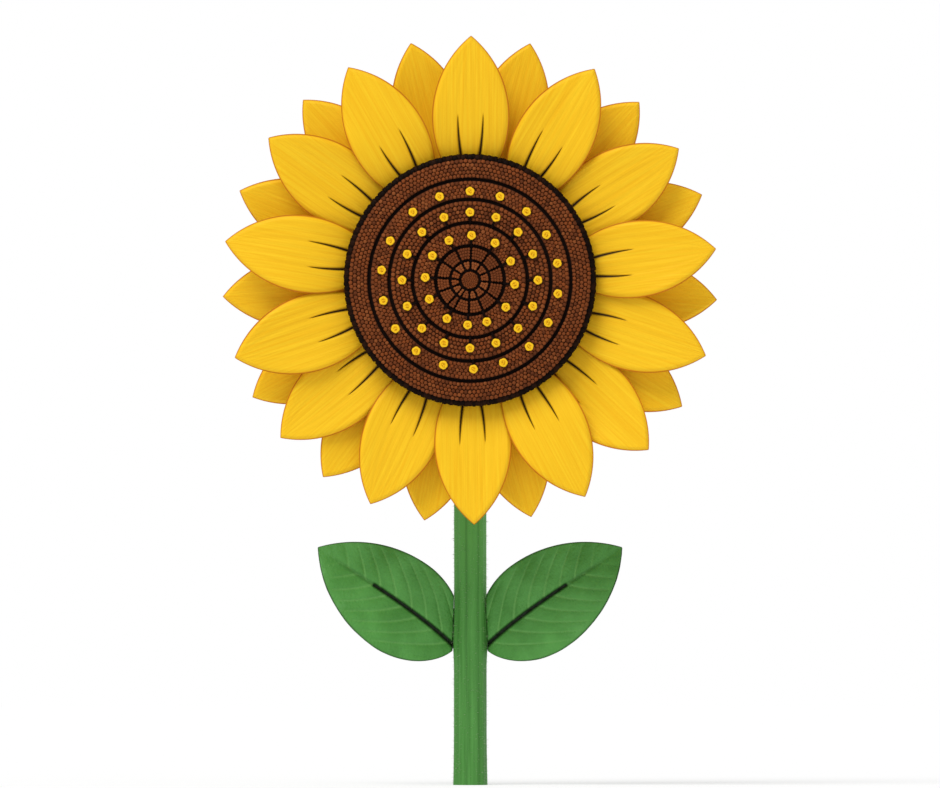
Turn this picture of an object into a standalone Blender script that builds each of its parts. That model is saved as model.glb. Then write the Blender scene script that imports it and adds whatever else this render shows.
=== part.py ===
"""Sunflower plant: one head of 27 ray petals on a straight stem with a pair of leaves.

The frame is +Z up, in metres, with the origin at the middle of the flat cut under the stem. The
head faces -Y. Inside the head, angles run clockwise from the top, as seen from in front of it,
and a depth is measured forward from the face of the receptacle.
"""

from math import cos, pi, radians, sin, sqrt

import bmesh
import bpy
from mathutils import Vector

# Driving dimensions
GAP = 0.0003  # between two pieces that touch
HEAD_HEIGHT = 0.2600  # middle of the head above the ground
TIP_RADIUS = 0.1256  # from the middle of the head to the tip of a petal at its top
SIDE_REACH = 0.0018  # how much further the tips at its sides reach
DISC_RADIUS = 0.0642

STEM_RADIUS = 0.0081  # just under the neck
STEM_TAPER = 0.0003  # how much thicker the stem is above its foot
FOOT_FLARE = 0.0004  # and how much the foot adds to that
FLARE_HEIGHT = 0.030
STEM_SIDES = 20

NECK_BEND = 0.033  # radius of the turn from the stem into the head
NECK_LEAD = 0.002  # straight piece at each end of the turn
BOSS_RADIUS = 0.0105  # where the neck enters the receptacle

RECEPTACLE_DEPTH = 0.034
DRUM_RADIUS = 0.0560  # the petals stand on this drum, behind the rim of the disc
FLANGE_RADIUS = 0.0630
FLANGE_DEPTH = 0.0120  # from the face of the receptacle back to its flange
FLANGE_THICKNESS = 0.0020
DISH_STEPS = 6
DISH_FULLNESS = 1.6  # a higher power makes the back of the dish rounder
HEAD_STEPS = 48

DISC_THICKNESS = 0.0090  # at its rim
DISC_CROWN = 0.0060  # how much the middle stands out past the rim
RIM_ROUND = 0.0042  # radius of its rounded rim
DISC_OVERHANG = 0.0010  # how far its flat back reaches past the drum
GROOVE_RADII = (0.0051, 0.0101, 0.0176, 0.0295, 0.0415, 0.0518)
GROOVE_WIDTH = 0.0018
GROOVE_DEPTH = 0.0011
FLORET_RADIUS = 0.0023
FLORET_TAPER = 0.7
FLORET_HEIGHT = 0.0020
FLORET_ROOT = 0.0012  # how far a floret is sunk into the disc
INNER_FLORETS = 0.0229, (2, 34, 65, 95.5, 127, 158, 183, 211, 245, 273.5, 303, 332)
MIDDLE_FLORETS = 0.0347, tuple(22.5 * i for i in range(16))
OUTER_FLORETS = 0.0454, tuple(19.75 * i for i in range(16)) + (320, 340)

# Each petal has an angle and a layer, and layer 0 is the one in front. No two neighbours that
# share a layer overlap.
FRONT_PETALS = (
    (0.25, 0), (30.5, 0), (57.75, 2), (82.75, 0), (107.75, 2), (133.5, 3), (152, 0),
    (179, 1), (204, 2), (230.25, 3), (251.75, 1), (279, 0), (305.25, 2), (330.25, 0),
)
BACK_PETALS = (
    (165.5, 4), (190.75, 5), (216.75, 4), (241.75, 5), (266.25, 4), (291.25, 5), (317.25, 4),
    (346, 5), (14.25, 4), (43.5, 5), (69.75, 4), (94.5, 5), (120.75, 4),
)
LAYER_STEP = 0.0016  # from one layer to the next, at the drum
LAYER_RISE = (0.0105, 0.0097, 0.0085, 0.0070, -0.0010, -0.0035)  # how far each curves forward
PETAL_HALF_WIDTH = 0.0198
PETAL_WIDEST = 0.0416  # from the tip back to the widest place
PETAL_CUP = 0.0016  # how far the edges stand forward of the middle
PETAL_THICKNESS = 0.0010
PETAL_SEAT = 0.0004  # from the drum to the foot of a petal, which slants a little
CLAW_HALF_WIDTH = 0.0062  # where the petal stands on the drum
CLAW_LENGTH = 0.0062  # its narrow foot, hidden behind the rim of the disc
CLAW_ROWS = 2
PETAL_ROWS = 10

BRACTS = 15  # in each of two rows
# Foot radius, foot depth, tip radius, tip depth and first angle of each row
BRACT_ROWS = (
    (0.0560, -0.0160, 0.0930, -0.0225, 0.0),
    (0.0440, -0.0225, 0.0820, -0.0320, 12.0),
)
BRACT_HALF_WIDTH = 0.0100
BRACT_BOW = 0.06  # share of its length that its middle bows forward
BRACT_HOLLOW = 0.15  # how far its edges stand forward, as a share of its half width
BRACT_THICKNESS = 0.0014

LEAF_LENGTH = 0.0880
LEAF_RISE = radians(36.1)  # of the line from the foot of the leaf to its tip
LEAF_HALF_WIDTH = 0.0253
LEAF_WIDEST = 0.0359  # from the foot to the widest place
LEAF_FOOT_HALF_WIDTH = 0.0020
LEAF_HEIGHT = 0.0713  # of the foot of the leaf above the ground
LEAF_THICKNESS = 0.0013
LEAF_RIB_THICKNESS = 0.0032  # at its foot, tapering to the blade's own at the tip
LEAF_FOOT_SINK = 0.0010  # how far the foot's middle line starts inside the stem's own radius
LEAF_LOPSIDED = 0.03  # how much wider the upper half of the blade is
LEAF_ARCH = 0.0130  # how far the middle of the leaf bows forward
LEAF_FOLD = 0.20  # slope of the two halves towards the midrib
LEAF_TILT = 0.32  # slope from the lower edge, in front, to the upper edge, behind
LEAF_ROWS = 14
LEAF_COLUMNS = 8

PARTS_NAME = "SunflowerPlant"
JOINED_NAME = "JoinedPieces"


def clear_scene():
    for obj in list(bpy.data.objects):
        bpy.data.objects.remove(obj)
    for collection in list(bpy.data.collections):
        bpy.data.collections.remove(collection)


def new_collection(name):
    collection = bpy.data.collections.new(name)
    bpy.context.scene.collection.children.link(collection)
    return collection


def new_material(name, colour, roughness):
    material = bpy.data.materials.new(name)
    material.use_nodes = True
    shader = material.node_tree.nodes["Principled BSDF"]
    shader.inputs["Base Color"].default_value = (*colour, 1.0)
    shader.inputs["Roughness"].default_value = roughness
    shader.inputs["Metallic"].default_value = 0.0
    return material


def new_object(name, data, collection, material, parent=None, turn=0.0):
    """An object in its collection; turn is its angle clockwise round the head."""
    obj = bpy.data.objects.new(name, data)
    collection.objects.link(obj)
    data.materials.append(material)
    obj.parent = parent
    obj.rotation_euler.z = -radians(turn)
    return obj


def turned(name, profile, steps, collection, material, parent=None):
    """A solid of revolution about Z from (radius, height) pairs that run from top to bottom."""
    mesh = bpy.data.meshes.new(name)
    edges = [(i, i + 1) for i in range(len(profile) - 1)]
    mesh.from_pydata([(radius, 0.0, height) for radius, height in profile], edges, [])
    obj = new_object(name, mesh, collection, material, parent)
    screw = obj.modifiers.new("Turn", "SCREW")
    screw.steps = steps
    screw.render_steps = steps
    screw.use_merge_vertices = True
    screw.merge_threshold = 0.00001
    screw.use_smooth_shade = False
    return obj


def sheet(name, rows, columns, place):
    """An open surface: place gives the point at a share along it, 0 to 1, and across it, -1 to 1."""
    bm = bmesh.new()
    bmesh.ops.create_grid(bm, x_segments=columns, y_segments=rows, size=1.0)
    for vertex in bm.verts:
        vertex.co = place((vertex.co.y + 1) / 2, vertex.co.x)
    bmesh.ops.remove_doubles(bm, verts=bm.verts, dist=0.000001)
    mesh = bpy.data.meshes.new(name)
    bm.to_mesh(mesh)
    bm.free()
    return mesh


def thicken(obj, thickness, offset=0.0):
    solidify = obj.modifiers.new("Thickness", "SOLIDIFY")
    solidify.thickness = thickness
    solidify.offset = offset
    return solidify


def union(obj, other):
    """Joins the collection's objects to this one, which becomes a plain mesh, and removes them."""
    boolean = obj.modifiers.new("Join", "BOOLEAN")
    boolean.operation = "UNION"
    boolean.operand_type = "COLLECTION"
    boolean.collection = other
    graph = bpy.context.evaluated_depsgraph_get()
    joined = bpy.data.meshes.new_from_object(obj.evaluated_get(graph))
    obj.modifiers.clear()
    obj.data = joined
    for piece in list(other.objects):
        bpy.data.objects.remove(piece)


def smoothstep(share):
    share = min(max(share, 0.0), 1.0)
    return share * share * (3 - 2 * share)


def pointed_half_width(from_tip, widest_from_tip, half_width):
    """Half the width of an outline whose two edges are equal arcs that meet at the tip."""
    arc = (widest_from_tip**2 + half_width**2) / (2 * half_width)
    return sqrt(arc**2 - (widest_from_tip - from_tip) ** 2) - (arc - half_width)


def stem(parts):
    top = HEAD_HEIGHT - NECK_BEND - NECK_LEAD - GAP
    profile = [(0.0, top), (STEM_RADIUS, top)]
    for share in (0.5, 0.25, 0.1, 0.05, 0.02, 0.0):
        height = share * top
        flare = FOOT_FLARE * max(0.0, 1 - height / FLARE_HEIGHT) ** 2
        profile.append((STEM_RADIUS + STEM_TAPER * (1 - share) + flare, height))
    profile.append((0.0, 0.0))
    turned("stem", profile, STEM_SIDES, parts, new_material("stem_green", (0.10, 0.26, 0.06), 0.6))


def neck(parts):
    """The tapering turn that carries the head forward of the stem."""
    turns = 10
    foot = HEAD_HEIGHT - NECK_BEND
    points = [(0.0, foot - NECK_LEAD)]
    for i in range(turns + 1):
        angle = pi / 2 * i / turns
        points.append((NECK_BEND * (cos(angle) - 1), foot + NECK_BEND * sin(angle)))
    points.append((-NECK_BEND - NECK_LEAD, HEAD_HEIGHT))
    curve = bpy.data.curves.new("neck", "CURVE")
    curve.dimensions = "3D"
    curve.bevel_depth = STEM_RADIUS
    curve.bevel_resolution = 6
    curve.use_fill_caps = True
    spline = curve.splines.new("POLY")
    spline.points.add(len(points) - 1)
    for i, (forward, height) in enumerate(points):
        spline.points[i].co = (0.0, forward, height, 1.0)
        share = smoothstep(i / (len(points) - 1))
        spline.points[i].radius = 1 + (BOSS_RADIUS / STEM_RADIUS - 1) * share
    new_object("neck", curve, parts, new_material("neck_green", (0.11, 0.28, 0.07), 0.6))


def bract(name, row, angle, collection, material, head):
    foot_radius, foot_depth, tip_radius, tip_depth, _ = row
    length = tip_radius - foot_radius

    def place(along, across):
        broad = BRACT_HALF_WIDTH * (1 - along**1.6) * (0.75 + 0.5 * along)
        bow = BRACT_BOW * length * sin(pi * along)
        depth = foot_depth + (tip_depth - foot_depth) * along + bow
        hollow = BRACT_HOLLOW * broad * across**2
        return across * broad, foot_radius + length * along, depth + hollow

    obj = new_object(name, sheet(name, 4, 2, place), collection, material, head, angle)
    thicken(obj, BRACT_THICKNESS)


def receptacle(parts, joined, head):
    """The green dish behind the disc, with the drum that the petals stand on and its bracts."""
    profile = [
        (0.0, -GAP),
        (DRUM_RADIUS, -GAP),
        (DRUM_RADIUS, -FLANGE_DEPTH),
        (FLANGE_RADIUS, -FLANGE_DEPTH),
    ]
    edge = FLANGE_DEPTH + FLANGE_THICKNESS
    for i in range(DISH_STEPS + 1):
        share = 1 - i / DISH_STEPS
        radius = BOSS_RADIUS + (FLANGE_RADIUS - BOSS_RADIUS) * share
        profile.append((radius, -edge - (RECEPTACLE_DEPTH - edge) * (1 - share**DISH_FULLNESS)))
    profile.append((0.0, -RECEPTACLE_DEPTH))
    green = new_material("receptacle_green", (0.12, 0.32, 0.07), 0.55)
    dish = turned("receptacle", profile, HEAD_STEPS, parts, green, head)
    for number, row in enumerate(BRACT_ROWS):
        for i in range(BRACTS):
            bract(f"bract_{number}_{i}", row, row[4] + 360 / BRACTS * i, joined, green, head)
    union(dish, joined)


def disc_front(radius):
    return DISC_THICKNESS + DISC_CROWN * (1 - (radius / DISC_RADIUS) ** 2)


def disc(parts, joined, head):
    """The brown disc, domed and grooved in rings, with its florets in bloom standing on it."""
    half = GROOVE_WIDTH / 2
    profile = [(0.0, disc_front(0.0))]
    for groove in GROOVE_RADII:
        profile.append((groove - half, disc_front(groove - half)))
        profile.append((groove, disc_front(groove) - GROOVE_DEPTH))
        profile.append((groove + half, disc_front(groove + half)))
    for angle in (90, 60, 30, 0, -30):
        out = DISC_RADIUS - RIM_ROUND * (1 - cos(radians(angle)))
        profile.append((out, disc_front(DISC_RADIUS) - RIM_ROUND * (1 - sin(radians(angle)))))
    profile.append((DRUM_RADIUS + DISC_OVERHANG, 0.0))
    profile.append((0.0, 0.0))
    brown = new_material("disc_brown", (0.13, 0.037, 0.012), 0.85)
    body = turned("disc", profile, HEAD_STEPS, parts, brown, head)
    for ring, (radius, angles) in enumerate((INNER_FLORETS, MIDDLE_FLORETS, OUTER_FLORETS)):
        for i, angle in enumerate(angles):
            bm = bmesh.new()
            bmesh.ops.create_cone(
                bm, cap_ends=True, segments=6, radius1=FLORET_RADIUS,
                radius2=FLORET_TAPER * FLORET_RADIUS, depth=FLORET_HEIGHT + FLORET_ROOT,
            )
            middle = disc_front(radius) + (FLORET_HEIGHT - FLORET_ROOT) / 2
            bmesh.ops.translate(bm, verts=bm.verts, vec=(0.0, radius, middle))
            mesh = bpy.data.meshes.new("floret")
            bm.to_mesh(mesh)
            bm.free()
            new_object(f"floret_{ring}_{i}", mesh, joined, brown, head, angle)
    union(body, joined)


def petal(name, angle, layer, parts, head):
    """One ray petal: two arcs that meet at the tip, on a short narrow claw."""
    foot = DRUM_RADIUS + PETAL_SEAT
    claw = foot + CLAW_LENGTH
    tip = TIP_RADIUS + SIDE_REACH * sin(radians(angle)) ** 2
    claw_share = CLAW_ROWS / PETAL_ROWS

    def place(along, across):
        if along < claw_share:
            radius = foot + CLAW_LENGTH * along / claw_share
        else:
            eased = 1 - (1 - (along - claw_share) / (1 - claw_share)) ** 1.5
            radius = claw + (tip - claw) * eased
        half = pointed_half_width(tip - radius, PETAL_WIDEST, PETAL_HALF_WIDTH)
        narrow = smoothstep((radius - foot) / CLAW_LENGTH)
        half = CLAW_HALF_WIDTH + (half - CLAW_HALF_WIDTH) * narrow
        reach = (radius - foot) / (tip - foot)
        depth = LAYER_RISE[layer] * (1.6 * reach - 0.8 * reach**2) - LAYER_STEP * (layer + 1)
        depth += PETAL_CUP * (across * half / PETAL_HALF_WIDTH) ** 2 * smoothstep(2 * reach)
        round_foot = (foot - sqrt(foot**2 - (across * half) ** 2)) * (1 - narrow)
        return across * half, radius - round_foot, depth

    yellow = new_material(name + "_yellow", (0.92, 0.54, 0.024), 0.5)
    mesh = sheet(name, PETAL_ROWS, 4, place)
    thicken(new_object(name, mesh, parts, yellow, head, angle), PETAL_THICKNESS)


def leaf(name, side, parts):
    """One smooth-edged leaf, thicker along its midrib; side is -1 for the left one, 1 for the right."""
    foot_out = STEM_RADIUS + STEM_TAPER - LEAF_FOOT_SINK
    nearest = STEM_RADIUS + STEM_TAPER + GAP

    def place(along, across):
        reach = LEAF_LENGTH * (1 - (1 - along) ** 1.3)
        if reach < LEAF_WIDEST:
            short = (LEAF_WIDEST - reach) / LEAF_WIDEST
            half = max(LEAF_HALF_WIDTH * (1 - short**2) ** 0.6, LEAF_FOOT_HALF_WIDTH)
        else:
            widest_from_tip = LEAF_LENGTH - LEAF_WIDEST
            half = pointed_half_width(LEAF_LENGTH - reach, widest_from_tip, LEAF_HALF_WIDTH)
        up = half * across * (1 + LEAF_LOPSIDED * across)
        outward = foot_out + reach * cos(LEAF_RISE) - up * sin(LEAF_RISE)
        height = LEAF_HEIGHT + reach * sin(LEAF_RISE) + up * cos(LEAF_RISE)
        back = LEAF_TILT * up - LEAF_FOLD * abs(up)
        back -= LEAF_ARCH * sin(0.75 * pi * reach / LEAF_LENGTH)
        return side * max(outward, nearest), back, height

    mesh = sheet(name, LEAF_ROWS, LEAF_COLUMNS, place)
    if side > 0:
        mesh.flip_normals()
    green = new_material(name + "_green", (0.08, 0.25, 0.055), 0.5)
    obj = new_object(name, mesh, parts, green)
    rib = obj.vertex_groups.new(name="Rib")
    for i in range(LEAF_ROWS):
        along = i / LEAF_ROWS
        middle = Vector(place(along, 0.0))
        nearest_vertex = min(mesh.vertices, key=lambda vertex: (vertex.co - middle).length)
        rib.add([nearest_vertex.index], 1 - along, "REPLACE")
    solidify = thicken(obj, LEAF_RIB_THICKNESS, -1.0)
    solidify.vertex_group = rib.name
    solidify.thickness_vertex_group = LEAF_THICKNESS / LEAF_RIB_THICKNESS


clear_scene()
parts = new_collection(PARTS_NAME)
joined = new_collection(JOINED_NAME)
joined.hide_render = True
head = bpy.data.objects.new("head_frame", None)
parts.objects.link(head)
head.location = (0.0, -(NECK_BEND + NECK_LEAD + GAP + RECEPTACLE_DEPTH), HEAD_HEIGHT)
head.rotation_euler.x = pi / 2

stem(parts)
neck(parts)
receptacle(parts, joined, head)
disc(parts, joined, head)
for i, (angle, layer) in enumerate(FRONT_PETALS):
    petal(f"petal_front_{i + 1:02d}", angle, layer, parts, head)
for i, (angle, layer) in enumerate(BACK_PETALS):
    petal(f"petal_back_{i + 1:02d}", angle, layer, parts, head)
leaf("leaf_left", -1, parts)
leaf("leaf_right", 1, parts)
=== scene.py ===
import random
from math import atan, cos, degrees, log, pi, radians, sin, sqrt

import bpy
from mathutils import Matrix, Vector, noise


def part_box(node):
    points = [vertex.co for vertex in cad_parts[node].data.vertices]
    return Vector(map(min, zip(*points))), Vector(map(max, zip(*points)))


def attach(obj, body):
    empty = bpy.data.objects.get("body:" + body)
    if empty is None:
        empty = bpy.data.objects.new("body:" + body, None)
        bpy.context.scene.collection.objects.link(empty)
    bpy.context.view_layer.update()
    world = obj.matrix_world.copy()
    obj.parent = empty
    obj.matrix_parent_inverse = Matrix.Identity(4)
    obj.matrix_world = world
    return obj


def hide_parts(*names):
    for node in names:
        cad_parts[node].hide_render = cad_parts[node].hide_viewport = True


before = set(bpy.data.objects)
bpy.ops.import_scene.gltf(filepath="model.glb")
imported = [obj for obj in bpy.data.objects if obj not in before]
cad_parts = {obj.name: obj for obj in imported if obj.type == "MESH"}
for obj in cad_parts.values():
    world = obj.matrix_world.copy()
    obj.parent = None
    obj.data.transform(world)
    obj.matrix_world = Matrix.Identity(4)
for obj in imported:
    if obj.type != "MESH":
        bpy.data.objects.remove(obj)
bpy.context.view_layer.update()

# Stalk
# The stem and its neck are one living stalk: a green rind round white pith, ribbed lengthwise and
# rough with short stiff hairs. It grows from the ground, where it is cut level, and turns forward
# under the head, which it carries.
STALK_RADIUS = 0.0081
STALK_TAPER = 0.0003
FOOT_FLARE = 0.0004
FLARE_HEIGHT = 0.030
NECK_FOOT = 0.2270  # where the stalk starts to turn forward
NECK_BEND = 0.0330
NECK_END = 0.0035  # the straight part of the neck past its bend
BOSS_RADIUS = 0.0105  # where the neck enters the receptacle
FILLET_SWELL = 0.0025  # and how much wider it gets in its last few millimetres
FILLET_LENGTH = 0.006
STALK_REACH = NECK_FOOT + NECK_BEND * pi / 2 + NECK_END
LEAF_HEIGHT = 0.0708  # where the two leaves grow from the stalk
JOINT_HEIGHT = LEAF_HEIGHT + 0.004  # and the middle of the swelling there
JOINT_SWELL = 0.0005
JOINT_HALF_LENGTH = 0.016
RIBS = 9
RIB_HEIGHT = 0.00026
RIB_WINDING = 2.2  # how far round the ribs wind, in radians of their wave to the metre
RIB_STRAY = 0.105  # how far a rib strays to either side, in radians round the stalk
RIB_STRAYS = 18  # to the metre
FINE_RIBS = 23
FINE_RIB_SHARE = 0.25
FINE_RIB_WINDING = 9.0
FINE_RIB_STRAY = 0.7
FURROW_SHADE = 0.55  # how deep the painted shade in the furrows between the ribs is
LIFT_FOOT_HEIGHT = 0.050  # below this the rind keeps its plain deep green, with no painted light
LIFT_TOP_HEIGHT = 0.140  # and above this it is painted paler in full, to offset the shade that the head casts
HEAD_SHADOW_LIFT = 0.7
PITH_RADIUS = 0.0058
PITH_HOLLOW = 0.0001  # how far the middle of the cut is hollowed
STALK_ROWS = 150
STALK_COLUMNS = 108
CUT_ROWS = 12
STALK_HAIRS = 2600
HAIR_LENGTHS = (0.0007, 0.0019)
HAIR_THICKNESS = 0.00008
HAIR_ROOT = 0.0001  # sunk in the rind
HAIR_LEAN = 0.3
ASKEW = Vector((0.3, 0.5, 0.8))  # a way that no hair grows


def net(alongs, acrosses, value):
    """What value gives at each share along and across, row by row."""
    return [value(along, across) for along in alongs for across in acrosses]


def shares(count, first=0.0, last=1.0):
    return [first + (last - first) * i / count for i in range(count + 1)]


def smoothstep(share):
    share = min(max(share, 0.0), 1.0)
    return share * share * (3 - 2 * share)


def mark(mesh, name, values):
    """Gives each corner of a mesh a number or a vector, which its finish reads."""
    if isinstance(values[0], float):
        mesh.attributes.new(name, "FLOAT", "POINT").data.foreach_set("value", values)
    else:
        flat = [part for value in values for part in value]
        mesh.attributes.new(name, "FLOAT_VECTOR", "POINT").data.foreach_set("vector", flat)


def net_faces(rows, columns, closed=False):
    """The faces between the corners of a net. closed joins the last column to the first."""
    faces = []
    for row in range(rows - 1):
        for column in range(columns if closed else columns - 1):
            here, beside = row * columns + column, row * columns + (column + 1) % columns
            faces.append((here, beside, beside + columns, here + columns))
    return faces


def skin(name, alongs, acrosses, point, lie, closed=False):
    """A smooth mesh over a net of points. lie is where a corner is on the piece laid out flat or
    straight, in metres."""
    mesh = bpy.data.meshes.new(name)
    faces = net_faces(len(alongs), len(acrosses), closed)
    mesh.from_pydata(net(alongs, acrosses, point), [], faces)
    mesh.shade_smooth()
    mark(mesh, "lie", net(alongs, acrosses, lie))
    return mesh


def gathered(name, things):
    """One mesh of many small things, each given by its corners, its faces and its finish."""
    corners, faces, finishes = [], [], []
    for thing_corners, thing_faces, finish in things:
        first = len(corners)
        corners += thing_corners
        faces += [[first + corner for corner in face] for face in thing_faces]
        finishes += [finish] * len(thing_faces)
    mesh = bpy.data.meshes.new(name)
    mesh.from_pydata(corners, [], faces)
    mesh.polygons.foreach_set("material_index", finishes)
    mesh.shade_smooth()
    return mesh


def piece(mesh, finishes, nodes=()):
    """A piece of the plant, in its finishes, that stands for these nodes of the solid model."""
    made = bpy.data.objects.new(mesh.name, mesh)
    bpy.context.scene.collection.objects.link(made)
    for finish in finishes:
        mesh.materials.append(finish)
    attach(made, "root")
    if nodes:
        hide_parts(*nodes)
    return made


def weld(made):
    """Joins the corners of a net where a whole row of them meets in one point."""
    made.modifiers.new("Weld", "WELD").merge_threshold = 0.000001


def new_finish(name, colour, roughness, specular=0.3, sheen=0.0):
    """A plain finish, and the tree and the shader through which it gets its pattern."""
    finish = bpy.data.materials.new(name)
    finish.use_nodes = True
    shader = finish.node_tree.nodes["Principled BSDF"]
    shader.inputs["Base Color"].default_value = (*colour, 1.0)
    shader.inputs["Roughness"].default_value = roughness
    shader.inputs["Specular IOR Level"].default_value = specular
    shader.inputs["Sheen Weight"].default_value = sheen
    return finish, finish.node_tree, shader


def read_mark(tree, name):
    reader = tree.nodes.new("ShaderNodeAttribute")
    reader.attribute_name = name
    return reader


def noise_on(tree, stretch, detail=3.0, kind="ShaderNodeTexNoise"):
    """A texture laid on a piece by its lie; stretch is how many times it repeats in a metre."""
    scaled = tree.nodes.new("ShaderNodeVectorMath")
    scaled.operation = "MULTIPLY"
    scaled.inputs[1].default_value = stretch
    tree.links.new(read_mark(tree, "lie").outputs["Vector"], scaled.inputs[0])
    texture = tree.nodes.new(kind)
    texture.inputs["Scale"].default_value = 1.0
    texture.inputs["Detail"].default_value = detail
    tree.links.new(scaled.outputs["Vector"], texture.inputs["Vector"])
    return texture.outputs[0]


def ramp(tree, factor, low, high, dark, light):
    """From dark, where the factor is low, to light, where it is high."""
    made = tree.nodes.new("ShaderNodeValToRGB")
    for end, place, colour in ((0, low, dark), (1, high, light)):
        made.color_ramp.elements[end].position = place
        made.color_ramp.elements[end].color = (*colour, 1.0)
    tree.links.new(factor, made.inputs["Fac"])
    return made.outputs["Color"]


def cover(tree, share, under, over):
    """One colour over another, as far as the mark named share says."""
    mix = tree.nodes.new("ShaderNodeMix")
    mix.data_type = "RGBA"  # its factor is input 0 then, its colours are 6 and 7, and the mix is output 2
    tree.links.new(read_mark(tree, share).outputs["Fac"], mix.inputs[0])
    tree.links.new(under, mix.inputs[6])
    mix.inputs[7].default_value = (*over, 1.0)
    return mix.outputs[2]


def relief(tree, shader, height, distance):
    """Fine relief, as far proud as distance where the height is 1."""
    bump = tree.nodes.new("ShaderNodeBump")
    bump.inputs["Distance"].default_value = distance
    tree.links.new(height, bump.inputs["Height"])
    tree.links.new(bump.outputs["Normal"], shader.inputs["Normal"])


def stalk_middle(travel):
    """The middle of the stalk after this much of its length, and the way to its back there."""
    turn = min(max(travel - NECK_FOOT, 0.0) / NECK_BEND, pi / 2)
    ahead = max(travel - NECK_FOOT - NECK_BEND * pi / 2, 0.0)
    height = min(travel, NECK_FOOT) + NECK_BEND * sin(turn)
    return Vector((0, NECK_BEND * (cos(turn) - 1) - ahead, height)), Vector((0, cos(turn), sin(turn)))


def stalk_radius(travel):
    swell = smoothstep((travel - NECK_FOOT) / (STALK_REACH - NECK_FOOT))
    radius = STALK_RADIUS + (BOSS_RADIUS - STALK_RADIUS) * swell
    taper = STALK_TAPER * max(0.0, 1 - travel / NECK_FOOT)
    flare = FOOT_FLARE * max(0.0, 1 - travel / FLARE_HEIGHT) ** 2
    fillet = FILLET_SWELL * smoothstep(1 - (STALK_REACH - travel) / FILLET_LENGTH) ** 2
    joint = JOINT_SWELL * smoothstep(1 - abs(travel - JOINT_HEIGHT) / JOINT_HALF_LENGTH)
    return radius + taper + flare + fillet + joint


def rib(along, across):
    """How far the rind stands out here, from -1 in a furrow to 1 on a rib."""
    travel, turn = along * STALK_REACH, 2 * pi * across
    stray = noise.noise(Vector((cos(turn), sin(turn), RIB_STRAYS * travel)))
    broad = cos(RIBS * (turn + RIB_STRAY * stray) + RIB_WINDING * travel)
    fine = cos(FINE_RIBS * turn + FINE_RIB_WINDING * travel + FINE_RIB_STRAY * stray)
    return (1 - FINE_RIB_SHARE) * broad + FINE_RIB_SHARE * fine


def stalk_furrow_shade(along, across):
    return FURROW_SHADE * smoothstep(-0.2 - rib(along, across))


def stalk_head_shadow_lift(along, across):
    return HEAD_SHADOW_LIFT * smoothstep((along * STALK_REACH - LIFT_FOOT_HEIGHT) / (LIFT_TOP_HEIGHT - LIFT_FOOT_HEIGHT))


def stalk_point(along, across):
    travel, turn = along * STALK_REACH, 2 * pi * across
    middle, back = stalk_middle(travel)
    radius = stalk_radius(travel) + RIB_HEIGHT * rib(along, across)
    return middle + radius * (cos(turn) * Vector((1, 0, 0)) + sin(turn) * back)


def stalk_lie(along, across):
    turn = 2 * pi * across
    return STALK_RADIUS * cos(turn), STALK_RADIUS * sin(turn), along * STALK_REACH


def cut_point(along, across):
    return Vector((0, 0, PITH_HOLLOW)).lerp(stalk_point(0.0, across), along)


def cut_lie(along, across):
    turn = 2 * pi * across
    return along * STALK_RADIUS * cos(turn), along * STALK_RADIUS * sin(turn), 0.0


def hair(root, way, length, thickness):
    """A stiff hair: a slim three-sided spike from its root."""
    across = way.cross(ASKEW).normalized() * thickness
    other = way.cross(across).normalized() * thickness
    ring = [root + cos(turn) * across + sin(turn) * other for turn in (0, 2 * pi / 3, -2 * pi / 3)]
    return [*ring, root + way * length], [(0, 1, 3), (1, 2, 3), (2, 0, 3), (2, 1, 0)], 0


rind, tree, shader = new_finish("stalk_rind", (0.080, 0.280, 0.054), roughness=0.55, specular=0.2)
green = ramp(tree, noise_on(tree, (700, 700, 22)), 0.32, 0.68, (0.055, 0.208, 0.035), (0.088, 0.292, 0.060))
# painted light: the upper stalk and neck are painted paler, to offset the shade that the head casts on them
green = cover(tree, "head_shadow_lift", green, (0.120, 0.400, 0.082))
# painted shade: the furrows between the ribs are painted a darker green
green = cover(tree, "furrow", green, (0.036, 0.140, 0.024))
tree.links.new(green, shader.inputs["Base Color"])
relief(tree, shader, noise_on(tree, (2400, 2400, 90)), 0.00012)

pith, tree, shader = new_finish("stalk_pith", (0.72, 0.72, 0.56), roughness=0.9)
cells = noise_on(tree, (900, 900, 900))
white = ramp(tree, cells, 0.35, 0.7, (0.60, 0.60, 0.42), (0.80, 0.80, 0.66))
tree.links.new(white, shader.inputs["Base Color"])
relief(tree, shader, cells, 0.0002)

stalk_rows, stalk_columns = shares(STALK_ROWS), shares(STALK_COLUMNS)[:-1]
mesh = skin("stalk", stalk_rows, stalk_columns, stalk_point, stalk_lie, closed=True)
mark(mesh, "furrow", net(stalk_rows, stalk_columns, stalk_furrow_shade))
mark(mesh, "head_shadow_lift", net(stalk_rows, stalk_columns, stalk_head_shadow_lift))
piece(mesh, [rind], ["stem", "neck"])

# The cut foot shows the pith inside the rind.
mesh = skin("stalk_cut", shares(CUT_ROWS), stalk_columns, cut_point, cut_lie, closed=True)
for name in ("furrow", "head_shadow_lift"):
    mark(mesh, name, [0.0] * len(mesh.vertices))
cut = piece(mesh, [pith, rind])
for face in mesh.polygons:
    face.material_index = int(face.center.length > PITH_RADIUS)
weld(cut)

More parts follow.
